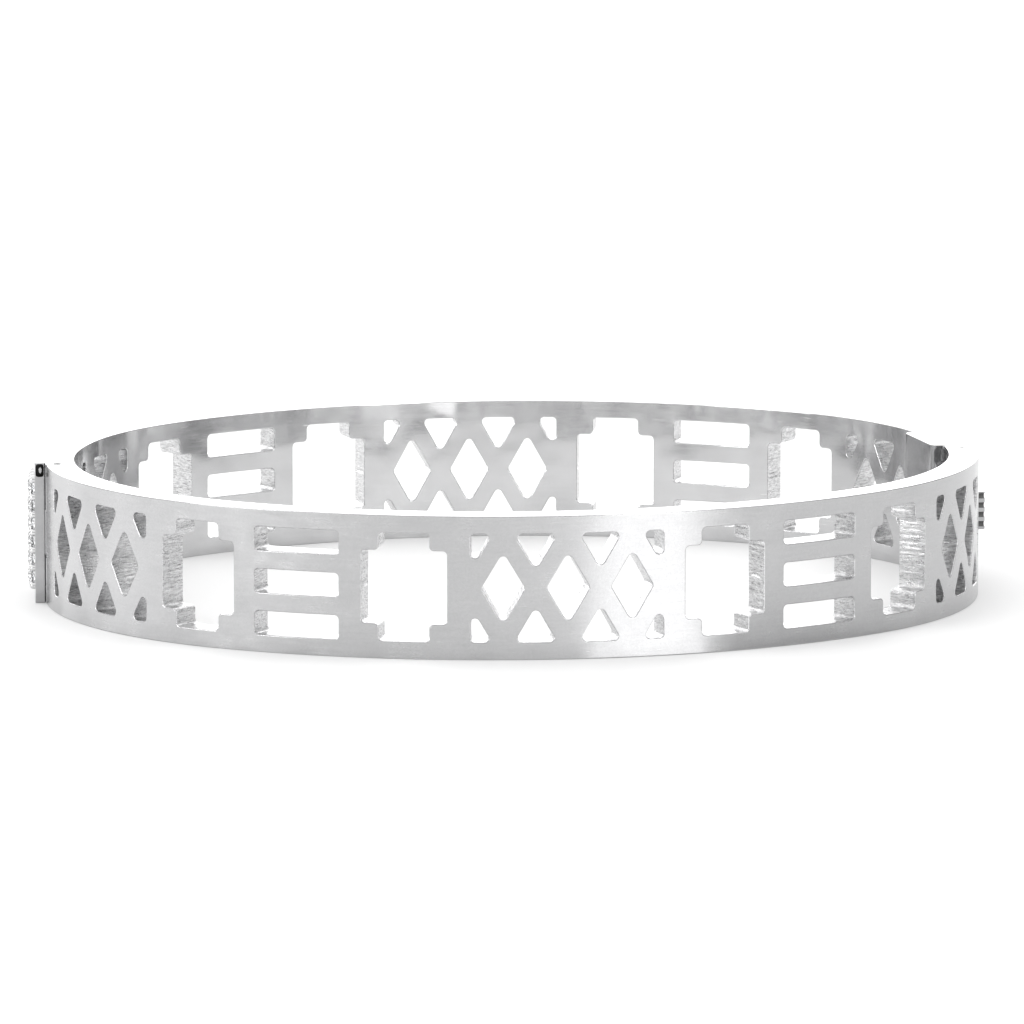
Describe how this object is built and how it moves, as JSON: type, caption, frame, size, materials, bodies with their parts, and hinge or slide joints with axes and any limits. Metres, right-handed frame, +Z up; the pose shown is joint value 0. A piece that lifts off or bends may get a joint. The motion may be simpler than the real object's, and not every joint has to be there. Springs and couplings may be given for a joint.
{
  "type": "hinged openwork bangle bracelet",
  "caption": "Rigid oval bangle of two hinged steel halves pierced with a geometric openwork, with a box clasp and a small plate of clear round crystals beside the hinge.",
  "frame": {"origin": "middle of the oval in the plane of the lower rim, which it rests on", "axes": "+Z up along the axis of the oval, +X from the hinge to the clasp, -Y towards the front half"},
  "size_m": [0.0642, 0.052, 0.0093],
  "materials": {
    "satin_steel": "satin outer face, polished rims and laser-cut window walls",
    "polished_steel": "polished",
    "crystal": "clear cut crystal"
  },
  "bodies": {
    "back": {"back_half": "satin_steel", "hinge_pin": "polished_steel", "crystal_plate": "polished_steel", "crystal_1_1": "crystal", "crystal_1_2": "crystal", "crystal_1_3": "crystal", "crystal_1_4": "crystal", "crystal_1_5": "crystal", "crystal_2_1": "crystal", "crystal_2_2": "crystal", "crystal_2_3": "crystal", "crystal_2_4": "crystal", "crystal_2_5": "crystal", "crystal_3_1": "crystal", "crystal_3_2": "crystal", "crystal_3_3": "crystal", "crystal_3_4": "crystal", "crystal_3_5": "crystal", "crystal_4_1": "crystal", "crystal_4_2": "crystal", "crystal_4_3": "crystal", "crystal_4_4": "crystal", "crystal_4_5": "crystal", "crystal_5_1": "crystal", "crystal_5_2": "crystal", "crystal_5_3": "crystal", "crystal_5_4": "crystal", "crystal_5_5": "crystal", "crystal_6_1": "crystal", "crystal_6_2": "crystal", "crystal_6_3": "crystal", "crystal_6_4": "crystal", "crystal_6_5": "crystal"},
    "front": {"front_half": "satin_steel", "clasp_tongue": "polished_steel", "tongue_pin": "polished_steel"}
  },
  "joints": [
    {"name": "hinge_open", "type": "hinge", "parent": "back", "child": "front", "pos_m": [-0.03022, 0, 0], "axis": [0, 0, -1], "range_deg": [0, 60]}
  ]
}
